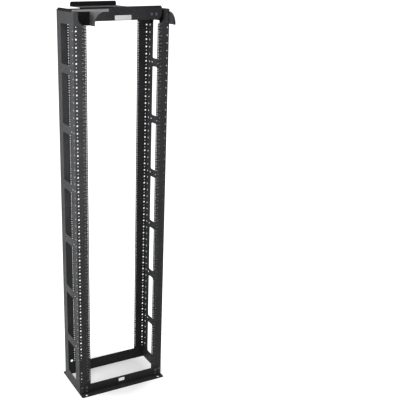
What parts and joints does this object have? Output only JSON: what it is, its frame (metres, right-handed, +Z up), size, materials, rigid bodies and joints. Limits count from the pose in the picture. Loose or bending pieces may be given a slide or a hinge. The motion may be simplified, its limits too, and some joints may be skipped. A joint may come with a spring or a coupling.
{
  "type": "two post open frame rack",
  "caption": "Tall open frame of two punched steel channel posts on a base of angles, with a cable trough, waterfall drop-outs and a rear tray at its head.",
  "frame": {"origin": "on the floor, at the centre of the four base anchor holes, midway between the posts", "axes": "+Z up along the posts, -Y towards the front (the side of the drop-outs), +X to the right seen from the front"},
  "size_m": [0.6064, 0.492, 2.4772],
  "materials": {
    "black_powder_coat": "fine-textured satin powder coat",
    "dark_bolt": "black oxide fasteners, left to the visual model",
    "unit_print": "matt grey print of the unit numbers and marks",
    "bare_plate": "bare satin plate, with nothing on it"
  },
  "bodies": {
    "root": {"left_front_flange": "black_powder_coat", "left_front_horn": "black_powder_coat", "left_front_web": "black_powder_coat", "left_rear_web": "black_powder_coat", "left_rear_flange": "black_powder_coat", "left_web_top": "black_powder_coat", "left_bridge_1": "black_powder_coat", "left_bridge_2": "black_powder_coat", "left_bridge_3": "black_powder_coat", "left_bridge_4": "black_powder_coat", "left_bridge_5": "black_powder_coat", "left_bridge_6": "black_powder_coat", "left_web_foot": "black_powder_coat", "left_waterfall": "black_powder_coat", "left_dropout_wall": "black_powder_coat", "right_front_flange": "black_powder_coat", "right_front_horn": "black_powder_coat", "right_front_web": "black_powder_coat", "right_rear_web": "black_powder_coat", "right_rear_flange": "black_powder_coat", "right_web_top": "black_powder_coat", "right_bridge_1": "black_powder_coat", "right_bridge_2": "black_powder_coat", "right_bridge_3": "black_powder_coat", "right_bridge_4": "black_powder_coat", "right_bridge_5": "black_powder_coat", "right_bridge_6": "black_powder_coat", "right_web_foot": "black_powder_coat", "right_waterfall": "black_powder_coat", "right_dropout_wall": "black_powder_coat", "base_front_angle": "black_powder_coat", "base_rear_angle": "black_powder_coat", "head_front_beam": "black_powder_coat", "head_rear_beam": "black_powder_coat", "trough_floor": "black_powder_coat", "right_dropout_cover": "black_powder_coat", "right_guide_cheek": "black_powder_coat", "rear_tray": "black_powder_coat"}
  },
  "joints": []
}
